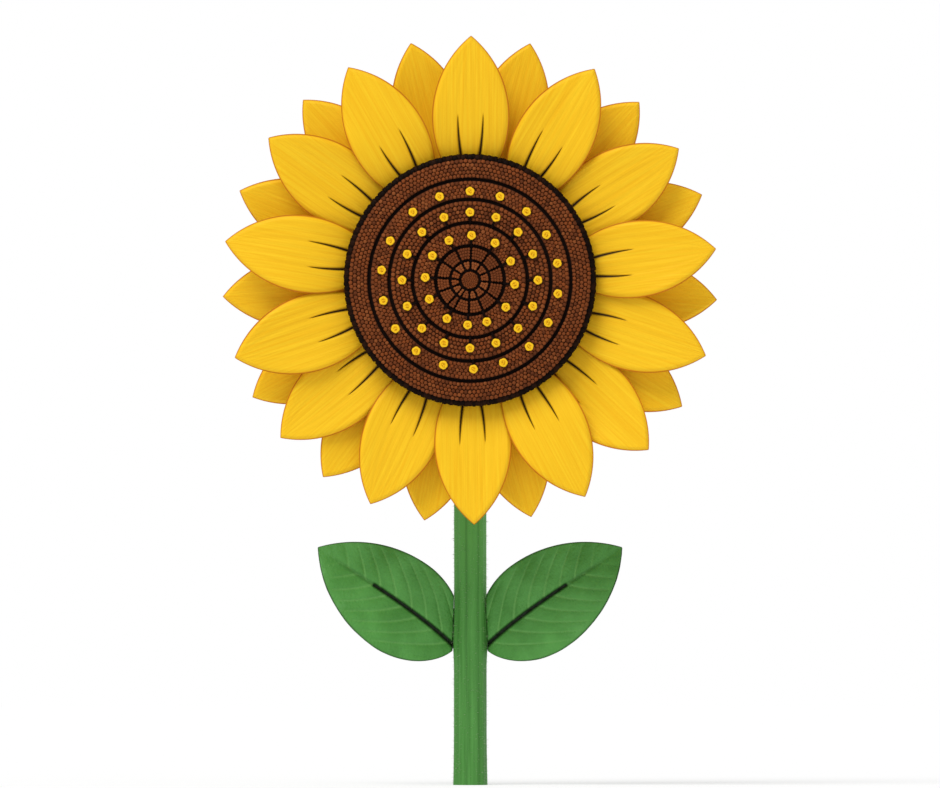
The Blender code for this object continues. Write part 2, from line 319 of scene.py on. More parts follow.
hair_white, _, _ = new_finish("hair_white", (0.50, 0.60, 0.38), roughness=0.5, specular=0.4)
draw = random.Random(11)
hairs = []
for _ in range(STALK_HAIRS):
    travel, across = draw.uniform(0.001, STALK_REACH - 0.004), draw.random()
    root = stalk_point(travel / STALK_REACH, across)
    out = (root - stalk_middle(travel)[0]).normalized()
    lean = Vector((draw.uniform(-1, 1), draw.uniform(-1, 1), draw.uniform(-1.2, 0.6)))
    way = (out + HAIR_LEAN * lean).normalized()
    hairs.append(hair(root - HAIR_ROOT * out, way, draw.uniform(*HAIR_LENGTHS), HAIR_THICKNESS))
piece(gathered("stalk_hairs", hairs), [hair_white])

# Leaves
# A pair of smooth-edged leaves grows straight from the stalk, without stems of their own. Each is a
# thin green blade, folded along a deep midrib, with side veins that stand out on its paler back.
LEAF_LENGTH = 0.0880
LEAF_RISE = radians(36.1)
LEAF_HALF_WIDTH = 0.0253
LEAF_WIDEST = 0.0359  # from the foot
LEAF_FOOT_HALF_WIDTH = 0.0020
LEAF_FOOT_BLUNTNESS = 0.6  # a half would make its foot an ellipse, and less a blunter one
LEAF_FOOT_OUT = 0.0074  # where the middle of the leaf starts, out from the middle of the stalk
LEAF_CLASP = 0.00035  # between the rind and the foot of the leaf that clasps it
LEAF_LOPSIDED = 0.03
LEAF_ARCH = 0.0130
LEAF_FOLD = 0.20
LEAF_TILT = 0.32
LEAF_BLADE = 0.0006  # thickness of the blade between its veins
LEAF_RIB = 0.0026  # thickness at the foot of the midrib
LEAF_MARGIN = 0.0007  # width of the darker margin of the blade
LEAF_ROLL = 0.0004  # how far the margin rolls back
LEAF_WAVE = 0.0010  # how far the edges wave
LEAF_WAVES = 26  # radians of that wave from foot to tip
LEAF_DENTS = 70  # to the metre
LEAF_DENT_DEPTH = 0.0011
MIDRIB_LENGTH = 0.0535  # how far the deep part of the midrib reaches
MIDRIB_BOW = 0.01224  # about six times as far as the midrib bows above the line from foot to tip
MIDRIB_HALF_WIDTH = 0.0014
MIDRIB_DEPTH = 0.0013
FURROW_END = 0.004  # from the tip, where the midrib's shallow furrow ends
VEIN_STEP = 0.0098
VEIN_SLANT = 0.75  # how far along the leaf a vein runs for each metre out from the midrib
VEIN_BOW = 24
VEIN_STRAY = 0.0012
VEIN_STRAYS = 60  # to the metre
VEIN_HALF_WIDTH = 0.00078
VEIN_DEPTH = 0.00035
VEIN_END = 0.006  # from the tip
FADE_LENGTH = 0.020  # over which veins and furrow fade out before they end
QUILT_DEPTH = 0.00060  # how far the blade bulges between two veins
LEAF_ROWS = 170
LEAF_COLUMNS = 96
CROWDING = 1.25  # how its rows crowd towards the tip, and its columns towards the middle


def pointed_half_width(from_tip, widest_from_tip, half_width):
    """Half the width of an outline whose two edges are equal arcs that meet at the tip."""
    arc = (widest_from_tip**2 + half_width**2) / (2 * half_width)
    return sqrt(arc**2 - (widest_from_tip - from_tip) ** 2) - (arc - half_width)


def near(off, width, spread):
    """1 in the middle of a line and close by, 0 further off than spread times its width."""
    return smoothstep(spread - off / width)


def leaf_reach(along):
    """How far from the foot: the last row stops just short of the tip."""
    return LEAF_LENGTH * (1 - (1 - along) ** CROWDING) - 0.0002 * along


def leaf_up(along, across):
    """How far above the line from foot to tip."""
    reach = leaf_reach(along)
    if reach < LEAF_WIDEST:
        short = (LEAF_WIDEST - reach) / LEAF_WIDEST
        half = max(LEAF_HALF_WIDTH * (1 - short**2) ** LEAF_FOOT_BLUNTNESS, LEAF_FOOT_HALF_WIDTH)
    else:
        half = pointed_half_width(LEAF_LENGTH - reach, LEAF_LENGTH - LEAF_WIDEST, LEAF_HALF_WIDTH)
    return half * across * (1 + LEAF_LOPSIDED * across)


def from_midrib(along, across):
    """How far above the midrib, which bows up most at about a third of its length."""
    share = leaf_reach(along) / LEAF_LENGTH
    return leaf_up(along, across) - MIDRIB_BOW * share * (1 - share) ** 1.8


def midrib(along, across):
    """1 in the bottom of the midrib's channel, less in the shallow furrow that goes on to the tip."""
    reach, off = leaf_reach(along), abs(from_midrib(along, across))
    width = MIDRIB_HALF_WIDTH * (1 - 0.15 * reach / MIDRIB_LENGTH)
    past_end = max(reach - MIDRIB_LENGTH + 0.5 * width, 0.0)
    shallow = 0.25 * smoothstep((LEAF_LENGTH - FURROW_END - reach) / FADE_LENGTH)
    return max(near(sqrt(off**2 + past_end**2), width, 1.35), shallow * near(off, width, 1.35))


def back_rib(along, across):
    """How thick the midrib is on the back, as a share of its foot: it thins out towards the tip."""
    share = leaf_reach(along) / LEAF_LENGTH
    width = 1.1 * MIDRIB_HALF_WIDTH * (1.05 - share)
    return near(abs(from_midrib(along, across)), width, 1.35) * (1 - share) ** 0.8


def from_vein(along, across):
    """How far from the nearest side vein, and where along the midrib that vein starts. The veins
    leave the midrib by turns, above and below, and bow towards the tip."""
    reach, up = leaf_reach(along), from_midrib(along, across)
    stray = VEIN_STRAY * noise.noise(Vector((VEIN_STRAYS * reach, VEIN_STRAYS * up, 3.0)))
    start = reach - VEIN_SLANT * abs(up) - VEIN_BOW * up**2 + stray
    if up > 0:
        start += VEIN_STEP / 2
    return abs((start / VEIN_STEP) % 1 - 0.5) * VEIN_STEP, start


def vein(along, across):
    """1 on a side vein, 0 off it. Veins get slimmer and fade out on their way to the edge."""
    off, start = from_vein(along, across)
    width = VEIN_HALF_WIDTH * (1.15 - 0.35 * abs(across))
    fade = smoothstep(start / 0.004) * smoothstep((1.02 - abs(across)) / 0.25)
    fade *= smoothstep((LEAF_LENGTH - VEIN_END - leaf_reach(along)) / FADE_LENGTH)
    return near(off, width, 1.4) * fade


def margin(along, across):
    """1 at the edge of the blade, 0 further in than its margin."""
    half = abs(leaf_up(along, 1.0 if across > 0 else -1.0))
    return near(half - abs(leaf_up(along, across)), LEAF_MARGIN, 1.3)


def quilt(along, across):
    """1 midway between two veins, 0 on a vein, by the midrib and at the edge."""
    between_veins = sin(pi * from_vein(along, across)[0] / VEIN_STEP)
    by_midrib = smoothstep(abs(from_midrib(along, across)) / 0.004)
    return between_veins * by_midrib * smoothstep((1 - abs(across)) / 0.3)


def leaf_point(side, along, across):
    reach, up = leaf_reach(along), leaf_up(along, across)
    out_share = up / LEAF_HALF_WIDTH
    outward = LEAF_FOOT_OUT + reach * cos(LEAF_RISE) - up * sin(LEAF_RISE)
    height = LEAF_HEIGHT + reach * sin(LEAF_RISE) + up * cos(LEAF_RISE)
    back = LEAF_TILT * up - LEAF_FOLD * abs(from_midrib(along, across))
    back -= LEAF_ARCH * sin(0.75 * pi * reach / LEAF_LENGTH)
    back += MIDRIB_DEPTH * midrib(along, across) + VEIN_DEPTH * vein(along, across)
    back -= QUILT_DEPTH * quilt(along, across)
    back += LEAF_WAVE * out_share**2 * sin(LEAF_WAVES * along + 2 * side + across)
    back -= LEAF_DENT_DEPTH * noise.noise(Vector((LEAF_DENTS * reach, LEAF_DENTS * up, 5 * side)))
    back += LEAF_ROLL * margin(along, across) * abs(out_share)
    clasp = stalk_radius(height) + LEAF_CLASP
    met = sqrt(max(clasp**2 - back**2, 0.0))
    if outward < met:  # the foot of the blade curls back round the stalk
        turn = atan(back / max(met, 0.001)) + (met - outward) / clasp
        return side * clasp * cos(turn), clasp * sin(turn), height
    return side * outward, back, height


def thicken(made, thickness, offset=0.0):
    """Gives a blade its thickness, to both sides or, with an offset of -1, to its back alone."""
    solidify = made.modifiers.new("Thickness", "SOLIDIFY")
    solidify.thickness = thickness
    solidify.offset = offset
    return solidify


leaf_green, tree, shader = new_finish("leaf_green", (0.082, 0.290, 0.056), roughness=0.46, specular=0.22)
mottle = noise_on(tree, (75, 75, 9), 5.0)
green = ramp(tree, mottle, 0.3, 0.7, (0.068, 0.254, 0.044), (0.101, 0.342, 0.071))
green = cover(tree, "vein", green, (0.170, 0.440, 0.110))
green = cover(tree, "margin", green, (0.020, 0.080, 0.014))
# painted shade: the bottom of the midrib's channel is painted near black, as a deep shaded crease
green = cover(tree, "midrib", green, (0.004, 0.012, 0.003))
tree.links.new(green, shader.inputs["Base Color"])
relief(tree, shader, noise_on(tree, (620, 620, 9), 2.0, "ShaderNodeTexVoronoi"), 0.00022)

leaf_back, tree, shader = new_finish(
    "leaf_back", (0.150, 0.330, 0.110), roughness=0.65, specular=0.2, sheen=0.1)
mottle = noise_on(tree, (160, 160, 9), 5.0)
green = ramp(tree, mottle, 0.3, 0.7, (0.120, 0.290, 0.086), (0.180, 0.380, 0.140))
for ridge in ("vein", "back_rib"):
    green = cover(tree, ridge, green, (0.26, 0.44, 0.19))
tree.links.new(green, shader.inputs["Base Color"])
relief(tree, shader, noise_on(tree, (620, 620, 9), 2.0, "ShaderNodeTexVoronoi"), 0.0003)

along_leaf = shares(LEAF_ROWS)
across_leaf = [abs(share) ** CROWDING * (1 if share > 0 else -1) for share in shares(LEAF_COLUMNS, -1.0)]
for name, side in (("leaf_left", -1), ("leaf_right", 1)):
    mesh = skin(f"{name}_blade", along_leaf, across_leaf,
                lambda along, across: leaf_point(side, along, across),
                lambda along, across: (leaf_reach(along), leaf_up(along, across), side))
    back_ribs = net(along_leaf, across_leaf, back_rib)
    veins = net(along_leaf, across_leaf, vein)
    mark(mesh, "midrib", net(along_leaf, across_leaf, midrib))
    mark(mesh, "back_rib", back_ribs)
    mark(mesh, "margin", net(along_leaf, across_leaf, margin))
    mark(mesh, "vein", [0.6 * share for share in veins])
    if side > 0:
        mesh.flip_normals()
    blade = piece(mesh, [leaf_green, leaf_back], [name])
    thick = blade.vertex_groups.new(name="Ribs")
    for i in range(len(mesh.vertices)):
        thick.add([i], max(back_ribs[i], 0.22 * veins[i]), "REPLACE")
    solidify = thicken(blade, LEAF_RIB, -1.0)
    solidify.vertex_group = thick.name
    solidify.thickness_vertex_group = LEAF_BLADE / LEAF_RIB
    solidify.material_offset = 1

# Receptacle
# Behind the disc, the stalk widens into a fleshy green dish. Its face carries the florets, and the
# petals stand round its edge. Its back is firm and ribbed where the bracts grow from it.
disc_lo, disc_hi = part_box("disc")
HEAD_MIDDLE = Vector(((disc_lo.x + disc_hi.x) / 2, disc_hi.y, (disc_lo.z + disc_hi.z) / 2))
DRUM_RADIUS = 0.0560
FLANGE_RADIUS = 0.0630
FLANGE_DEPTH = 0.0120
FLANGE_THICKNESS = 0.0020
RECEPTACLE_DEPTH = 0.0340
DISH_EDGE = FLANGE_DEPTH + FLANGE_THICKNESS
DISH_FULLNESS = 1.6
DISH_RIDGES = 30
DISH_RIDGE_HEIGHT = 0.0005
DISH_DENTS = 90  # to the metre
DISH_DENT_DEPTH = 0.0005
DISH_INSET = 0.0003  # between its face and the disc
DISH_BEVEL = 0.001
DISH_ROWS = 26
DISH_COLUMNS = 180


def on_head(across, out, depth, angle=0.0):
    """A place on the head: angle is clockwise from the top, as seen from in front, out is from the
    middle, across is square to that, and depth is forward of the receptacle's face."""
    turn = radians(angle)
    right = across * cos(turn) + out * sin(turn)
    up = out * cos(turn) - across * sin(turn)
    return HEAD_MIDDLE + Vector((right, -depth, up))


# Radius and depth of each row of its net: its face, its drum, its flange and its rounded back
dish_profile = [(0.0, -DISH_INSET), (DRUM_RADIUS, -DISH_INSET), (DRUM_RADIUS, DISH_BEVEL - FLANGE_DEPTH)]
dish_profile += [(FLANGE_RADIUS - DISH_BEVEL, -FLANGE_DEPTH), (FLANGE_RADIUS, -FLANGE_DEPTH - DISH_BEVEL)]
for share in shares(DISH_ROWS, 1.0, 0.0):
    radius = BOSS_RADIUS + (FLANGE_RADIUS - BOSS_RADIUS) * share
    dish_profile.append((radius, -DISH_EDGE - (RECEPTACLE_DEPTH - DISH_EDGE) * (1 - share**DISH_FULLNESS)))
dish_profile.append((0.0, -RECEPTACLE_DEPTH))


def dish_point(row, across):
    radius, depth = dish_profile[row]
    turn = 2 * pi * across
    on_back = smoothstep((radius - 0.016) / 0.02) * smoothstep((-depth - DISH_EDGE) / 0.004)
    ridge = DISH_RIDGE_HEIGHT * cos(DISH_RIDGES * turn) * on_back
    place = Vector((DISH_DENTS * radius * cos(turn), DISH_DENTS * radius * sin(turn), 60 * depth))
    return on_head(0.0, radius, depth - ridge - DISH_DENT_DEPTH * noise.noise(place), 360 * across)


def dish_lie(row, across):
    radius, depth = dish_profile[row]
    return radius * sin(2 * pi * across), radius * cos(2 * pi * across), depth


dish_green, tree, shader = new_finish("dish_green", (0.095, 0.270, 0.060), roughness=0.6, sheen=0.15)
mottle = noise_on(tree, (220, 220, 220), 5.0)
green = ramp(tree, mottle, 0.3, 0.7, (0.080, 0.240, 0.050), (0.125, 0.320, 0.084))
tree.links.new(green, shader.inputs["Base Color"])
relief(tree, shader, noise_on(tree, (1500, 1500, 1500)), 0.0002)
dish_rows, dish_columns = range(len(dish_profile)), shares(DISH_COLUMNS)[:-1]
mesh = skin("dish", dish_rows, dish_columns, dish_point, dish_lie, closed=True)
weld(piece(mesh, [dish_green], ["receptacle"]))

# Bracts
# Four rows of pointed green bracts clasp the back of the head. Each is a small stiff leaf, hollowed
# along its middle and ribbed lengthwise, with a fringe of white hairs, and grows out of the dish.
BRACT_BOW = 0.06
BRACT_HOLLOW = 0.15
BRACT_THICKNESS = 0.0007
BRACT_RIBS = 5
BRACT_RIB_HEIGHT = 0.00018
BRACT_CREASE = 0.0005  # depth of the crease along its middle
BRACT_WAVE = 0.0006
BRACT_SWAY = 0.0020  # how far its tip strays
BRACT_TURN = 2  # degrees that it strays round the head
FRINGE_HAIRS = 34
FRINGE_LENGTHS = (0.0007, 0.0016)
FRINGE_THICKNESS = 0.00006
BRACT_DEAL = (0, 0, 1, 2)  # which of the three greens a bract may get
# Each row's foot radius and depth, tip radius and depth, first angle, half width and count
BRACT_ROWS = (
    (0.0570, -0.0160, 0.0930, -0.0225, 0.0, 0.0105, 21),
    (0.0440, -0.0225, 0.0820, -0.0320, 9.0, 0.0108, 19),
    (0.0310, -0.0290, 0.0680, -0.0390, 2.0, 0.0102, 16),
    (0.0190, -0.0325, 0.0500, -0.0415, 14.0, 0.0082, 12),
)


def bract_point(row, angle, sway, along, across):
    foot_radius, foot_depth, tip_radius, tip_depth, _, half_width, _ = row
    length = tip_radius - foot_radius
    broad = half_width * (1 - along**1.6) * (0.75 + 0.5 * along) + 0.0001
    depth = foot_depth + (tip_depth - foot_depth) * along + BRACT_BOW * length * sin(pi * along)
    depth += BRACT_HOLLOW * broad * across**2 - BRACT_CREASE * near(abs(across), 0.12, 1.2) * (1 - along)
    depth -= BRACT_RIB_HEIGHT * cos(BRACT_RIBS * pi * across) * (1 - along) * (1 - across**4)
    depth += sway * along**2 + BRACT_WAVE * across * sin(7 * along + 400 * sway)
    return on_head(across * broad + 0.3 * sway * along, foot_radius + length * along, depth, angle)


def fringe_hair(row, angle, sway, draw):
    """A hair on either edge of a bract, that points outwards and to its tip."""
    along, edge = draw.uniform(0.1, 0.98), draw.choice((-1, 1))
    root = bract_point(row, angle, sway, along, edge)
    way = root - bract_point(row, angle, sway, along - 0.08, 0.3 * edge)
    way += Vector([0.004 * draw.uniform(-1, 1) for _ in range(3)])
    return hair(root, way.normalized(), draw.uniform(*FRINGE_LENGTHS), FRINGE_THICKNESS)


bract_greens = []
for name, dark, light in (
    ("bract_green", (0.072, 0.225, 0.046), (0.112, 0.305, 0.074)),
    ("bract_deep_green", (0.052, 0.176, 0.034), (0.084, 0.246, 0.056)),
    ("bract_pale_green", (0.100, 0.272, 0.064), (0.155, 0.366, 0.102)),
):
    bract_green, tree, shader = new_finish(name, light, roughness=0.55, sheen=0.15)
    green = ramp(tree, noise_on(tree, (1000, 40, 3)), 0.3, 0.7, dark, light)
    tree.links.new(green, shader.inputs["Base Color"])
    relief(tree, shader, noise_on(tree, (2400, 240, 3)), 0.00016)
    bract_greens.append(bract_green)

draw = random.Random(23)
along_bract, across_bract = shares(14), shares(20, -1.0)
bract_faces = net_faces(len(along_bract), len(across_bract))
fringe = []
for number, row in enumerate(BRACT_ROWS, 1):
    bracts, lies = [], []
    length, first_angle, half_width, count = row[2] - row[0], row[4], row[5], row[6]
    for i in range(count):
        angle = first_angle + 360 / count * i + draw.uniform(-BRACT_TURN, BRACT_TURN)
        sway = draw.uniform(-BRACT_SWAY, BRACT_SWAY)
        corners = net(along_bract, across_bract, lambda along, across: bract_point(
            row, angle, sway, along, across))
        lies += net(along_bract, across_bract, lambda along, across: (
            across * half_width, along * length, i))
        bracts.append((corners, bract_faces, draw.choice(BRACT_DEAL)))
        fringe += [fringe_hair(row, angle, sway, draw) for _ in range(FRINGE_HAIRS)]
    mesh = gathered(f"bracts_{number}", bracts)
    mark(mesh, "lie", lies)
    thicken(piece(mesh, bract_greens, ["receptacle"]), BRACT_THICKNESS)
piece(gathered("bract_hairs", fringe), [hair_white])

# Petals
# Round the disc stand 27 ray petals in two rings, 14 in front and 13 behind. Each is a thin yellow
# blade, veined and pleated lengthwise, cupped a little, that springs from a narrow claw on the edge
# of the receptacle. Two deep pleats run out from under the disc on each front one.
TIP_RADIUS = 0.1256
TIP_MARGIN = 0.0002  # the last row of a petal's net stops this short of its tip
SIDE_REACH = 0.0018  # how much further the petals at the sides reach
PETAL_HALF_WIDTH = 0.0198
BACK_HALF_WIDTH = 0.0190
PETAL_WIDEST = 0.0416  # from the tip
PETAL_CUP = 0.0016
PETAL_THICKNESS = 0.00045
CLAW_HALF_WIDTH = 0.0062
CLAW_LENGTH = 0.0062
CLAW_ROWS = 0.12  # share of a petal's rows that are on its claw
PETAL_FOOT = DRUM_RADIUS + 0.0004
LAYER_STEP = 0.0016
LAYER_RISE = (0.0112, 0.0098, 0.0078, 0.0055, -0.0018, -0.0040)
FRONT_LAYERS = 4
# The angle and the layer of each petal, and how far its pleats lie clockwise of its middle. Layer 0
# is the one in front.
FRONT_PETALS = (
    (0.25, 0, -0.0001), (30.5, 0, -0.0004), (57.75, 2, 0.0009), (82.75, 0, 0.0013), (107.75, 2, 0.0017),
    (133.5, 3, 0.0005), (152, 0, 0.0), (179, 1, 0.0001), (204, 2, 0.0006), (230.25, 3, 0.0011),
    (251.75, 1, 0.0007), (279, 0, 0.0004), (305.25, 2, -0.0006), (330.25, 0, 0.0003),
)
BACK_PETALS = (
    (165.5, 4, 0.0), (190.75, 5, 0.0), (216.75, 4, 0.0), (241.75, 5, 0.0), (266.25, 4, 0.0),
    (291.25, 5, 0.0), (317.25, 4, 0.0), (346, 5, 0.0), (14.25, 4, 0.0), (43.5, 5, 0.0),
    (69.75, 4, 0.0), (94.5, 5, 0.0), (120.75, 4, 0.0),
)
PLEAT_START = 0.0640  # at the edge of the disc
PLEAT_LENGTH = 0.0208
PLEAT_OUT = (0.0047, 0.0065)  # from the line midway between the two, at the start and at the end
PLEAT_HALF_WIDTH = 0.00115
PLEAT_TIP_WIDTH = 0.00012
PLEAT_DEPTH = 0.00085
PLEAT_BULGE = 0.0006  # how far the strip between the two pleats stands forward
BULGE_END = 0.095  # the radius where that strip ends
BLUSH = 0.15  # how deep the yellow gets towards the foot
BLUSH_END = 0.082  # the radius where that starts
VEINS = 9
PETAL_VEIN_HEIGHT = 0.00013
PETAL_EDGE = 0.0010  # width of the painted shade, a deeper yellow, along its edge
PETAL_ROLL = 0.0014  # how far the edge rolls back
PETAL_ROLL_WIDTH = 0.0020


class Petal:
    """One ray petal: its place on the head and the small ways in which it differs from the rest."""

    def __init__(self, angle, layer, pleat_shift, draw):
        self.angle = angle
        self.layer = layer
        self.front = layer < FRONT_LAYERS
        self.pleat_shift = pleat_shift
        self.tip = TIP_RADIUS + SIDE_REACH * sin(radians(angle)) ** 2
        self.broad = PETAL_HALF_WIDTH if self.front else BACK_HALF_WIDTH
        self.curl = draw.uniform(-0.0045, 0.0035)
        self.twist = draw.uniform(-0.11, 0.11)
        self.wave = draw.uniform(0.0007, 0.0016)
        self.phase = draw.uniform(0, 2 * pi)
        self.pleat_share = [draw.uniform(0.92, 1.08) for _ in range(2)]

    def radius(self, along):
        if along < CLAW_ROWS:
            return PETAL_FOOT + CLAW_LENGTH * along / CLAW_ROWS
        eased = 1 - (1 - (along - CLAW_ROWS) / (1 - CLAW_ROWS)) ** 1.35
        claw = PETAL_FOOT + CLAW_LENGTH
        return claw + (self.tip - TIP_MARGIN - claw) * eased

    def past_claw(self, radius):
        """0 at the foot, 1 past the claw."""
        return smoothstep((radius - PETAL_FOOT) / CLAW_LENGTH)

    def half(self, radius):
        half = pointed_half_width(self.tip - radius, PETAL_WIDEST, self.broad)
        return CLAW_HALF_WIDTH + (half - CLAW_HALF_WIDTH) * self.past_claw(radius)

    def pleat(self, along, across):
        """1 in the bottom of a pleat, 0 outside it."""
        radius = self.radius(along)
        from_middle = across * self.half(radius) - self.pleat_shift
        length = PLEAT_LENGTH * self.pleat_share[int(from_middle > 0)]
        share = min(max((radius - PLEAT_START) / length, 0.0), 1.0)
        if share == 1 or not self.front:
            return 0.0
        out = PLEAT_OUT[0] + (PLEAT_OUT[1] - PLEAT_OUT[0]) * (1 - (1 - share) ** 2)
        width = PLEAT_HALF_WIDTH * (1 - share) ** 0.6 + PLEAT_TIP_WIDTH
        ends = smoothstep((1 - share) / 0.12) * self.past_claw(radius) ** 2
        return near(abs(abs(from_middle) - out), width, 1.25) * ends

    def edge(self, along, across, width):
        """1 at the edges of the petal, 0 further in than this width."""
        return near((1 - abs(across)) * self.half(self.radius(along)), width, 1.2)

    def foot_blush_and_edge_shade(self, along, across):
        """How deep the yellow is towards the foot, which is its own colour, and the painted shade along the
        edges.
        """
        foot = BLUSH * smoothstep((BLUSH_END - self.radius(along)) / 0.020)
        return max(foot, self.edge(along, across, PETAL_EDGE))

    def point(self, along, across):
        radius = self.radius(along)
        out, past_claw = across * self.half(radius), self.past_claw(radius)
        reach = (radius - PETAL_FOOT) / (self.tip - PETAL_FOOT)
        out_share = out / PETAL_HALF_WIDTH
        depth = LAYER_RISE[self.layer] * (1.6 * reach - 0.8 * reach**2) - LAYER_STEP * (self.layer + 1)
        depth += PETAL_CUP * out_share**2 * smoothstep(2 * reach)
        free = smoothstep((reach - 0.25) / 0.6)  # only the outer part curls, twists and waves
        depth += free * (self.curl * reach**2 + self.twist * out)
        depth += free * self.wave * out_share**2 * sin(9 * reach + self.phase + 1.5 * across)
        depth += PETAL_VEIN_HEIGHT * cos(VEINS * pi * across) * past_claw * (1 - across**4) * (1 - reach**3)
        depth -= PETAL_ROLL * self.edge(along, across, PETAL_ROLL_WIDTH) * past_claw
        if self.front:
            strip = near(abs(across), 0.3, 1.2) * smoothstep((BULGE_END - radius) / 0.03)
            depth += PLEAT_BULGE * strip * past_claw - PLEAT_DEPTH * self.pleat(along, across)
        round_foot = (PETAL_FOOT - sqrt(PETAL_FOOT**2 - out**2)) * (1 - past_claw)
        return on_head(out, radius - round_foot, depth, self.angle)

    def lie(self, along, across):
        radius = self.radius(along)
        return across * self.half(radius), radius, self.angle


def petal_finish(name, dark, light, edge, pleat, vein_relief):
    finish, tree, shader = new_finish(name, light, roughness=0.5, specular=0.12)
    yellow = ramp(tree, noise_on(tree, (1300, 24, 3)), 0.3, 0.7, dark, light)
    # a deeper yellow of its own towards the foot, and painted shade along the edges, where the petals
    # overlap
    yellow = cover(tree, "foot_blush_and_edge_shade", yellow, edge)
    # the pleat colour: painted shade in the crease on the face, the rib's own deeper yellow on the back
    yellow = cover(tree, "pleat", yellow, pleat)
    tree.links.new(yellow, shader.inputs["Base Color"])
    relief(tree, shader, noise_on(tree, (2600, 60, 3)), vein_relief)
    return finish


def joined(*stretches):
    """One run of shares out of several, each of its own step: count, first and last."""
    return [share for stretch in stretches for share in shares(*stretch)[:-1]] + [stretches[-1][2]]


# The bottom of a pleat is painted near black on the face, as painted shade in the crease, and stands out as
# a deeper yellow rib on the back.
petal_face = petal_finish("petal_face", (0.880, 0.475, 0.008), (0.940, 0.580, 0.016), (0.560, 0.165, 0.002),
                          (0.016, 0.004, 0.001), 0.00016)
petal_back = petal_finish("petal_back", (0.800, 0.430, 0.012), (0.900, 0.550, 0.030), (0.560, 0.420, 0.020),
                          (0.620, 0.300, 0.010), 0.00022)
# Rows and columns lie closer together at the pleats and at the rolled edges.
front_rows = joined((5, 0.0, CLAW_ROWS), (30, CLAW_ROWS, 0.46), (24, 0.46, 1.0))
half_columns = joined((6, 0.0, 0.22), (14, 0.22, 0.40), (10, 0.40, 0.90), (6, 0.90, 1.0))
front_columns = [-share for share in reversed(half_columns[1:])] + half_columns
back_rows = shares(44)
back_columns = joined((6, -1.0, -0.9), (32, -0.9, 0.9), (6, 0.9, 1.0))
draw = random.Random(5)
for ring, petals, rows, columns in (
    ("front", FRONT_PETALS, front_rows, front_columns),
    ("back", BACK_PETALS, back_rows, back_columns),
):
    for number, (angle, layer, pleat_shift) in enumerate(petals, 1):
        petal = Petal(angle, layer, pleat_shift, draw)
        # The fine columns go with the pleats.
        shift = 1.15 * pleat_shift / PETAL_HALF_WIDTH
        acrosses = [share + shift * (1 - share**2) for share in columns]
        mesh = skin(f"ray_{ring}_{number:02d}", rows, acrosses, petal.point, petal.lie)
        mark(mesh, "pleat", net(rows, acrosses, petal.pleat))
        mark(mesh, "foot_blush_and_edge_shade", net(rows, acrosses, petal.foot_blush_and_edge_shade))
        ray = piece(mesh, [petal_face, petal_back], [f"petal_{ring}_{number:02d}"])
        thicken(ray, PETAL_THICKNESS).material_offset = 1

# Disc
# The disc is the domed face of the receptacle, on which the small florets are packed. Bare furrows, painted
# in deep shade, part them into rings, and a rim of dark scales holds them in.
DISC_RADIUS = 0.0642
DISC_THICKNESS = 0.0090
DISC_CROWN = 0.0060
RIM_ROUND = 0.0042
FURROWS = (0.0176, 0.0295, 0.0415, 0.0518)
UNDER_EYE = (0.0, 0.006, 0.012, FURROWS[0])  # radii of the rows of the bed under the eye
FURROW_HALF_WIDTH = 0.00085
FURROW_WALL = 0.00015  # how far the wall of a furrow leans out to either side
BED_DEPTH = 0.0005  # from the crown of the disc down to the bed between the buds
FURROW_DEPTH = 0.0015
WALL_DEPTH = (FURROW_DEPTH + BED_DEPTH) / 2
FACE_RADIUS = 0.0622  # out to the rim of scales
SHOULDER = 0.0588  # where the face starts to round off towards the rim
SHOULDER_FALL = 83  # in metres for each square metre beyond it
RIM_INSET = 0.0003  # by which the bed stays behind the rim, where the scales grow from it
DISC_COLUMNS = 160
# The bands of buds between the furrows, from and to which radius
BANDS = tuple(zip(FURROWS, (*FURROWS[1:], FACE_RADIUS + FURROW_HALF_WIDTH)))


def disc_front(radius):
    crown = DISC_THICKNESS + DISC_CROWN * (1 - (radius / DISC_RADIUS) ** 2)
    return crown - SHOULDER_FALL * max(radius - SHOULDER, 0.0) ** 2


def disc_slope(radius):
    return atan(2 * DISC_CROWN * radius / DISC_RADIUS**2 + 2 * SHOULDER_FALL * max(radius - SHOULDER, 0.0))


def on_rim(angle):
    """Radius and depth on the rounded edge of the disc: 90 degrees is its front, 0 its side."""
    turn = radians(angle)
    return DISC_RADIUS - RIM_ROUND * (1 - cos(turn)), DISC_THICKNESS - RIM_ROUND * (1 - sin(turn))


# Radius, depth and painted shade of each row of the bed's net: 1 is as dark as the bottom of a furrow, and
# the rows under the rim and at the back are painted nearly as dark
bed_profile = [(radius, disc_front(radius) - FURROW_DEPTH, 1.0) for radius in UNDER_EYE]
for inner, outer in BANDS:
    start, end = inner + FURROW_HALF_WIDTH, outer - FURROW_HALF_WIDTH
    bed_profile.append((start - FURROW_WALL, disc_front(start) - FURROW_DEPTH, 1.0))
    bed_profile.append((start, disc_front(start) - WALL_DEPTH, 0.6))
    for radius in shares(5, start + FURROW_WALL, end - FURROW_WALL):
        bed_profile.append((radius, disc_front(radius) - BED_DEPTH, 0.0))
    if outer in FURROWS:
        bed_profile.append((end, disc_front(end) - WALL_DEPTH, 0.6))
        bed_profile.append((end + FURROW_WALL, disc_front(end) - FURROW_DEPTH, 1.0))
for angle in shares(8, 50, -30):
    radius, depth = on_rim(angle)
    bed_profile.append((radius - RIM_INSET, depth - RIM_INSET, 0.85))
bed_profile += [(DRUM_RADIUS + 0.001, 0.0, 0.75), (0.0, 0.0, 0.75)]


def bed_point(row, across):
    radius, depth, _ = bed_profile[row]
    return on_head(0.0, radius, depth, 360 * across)


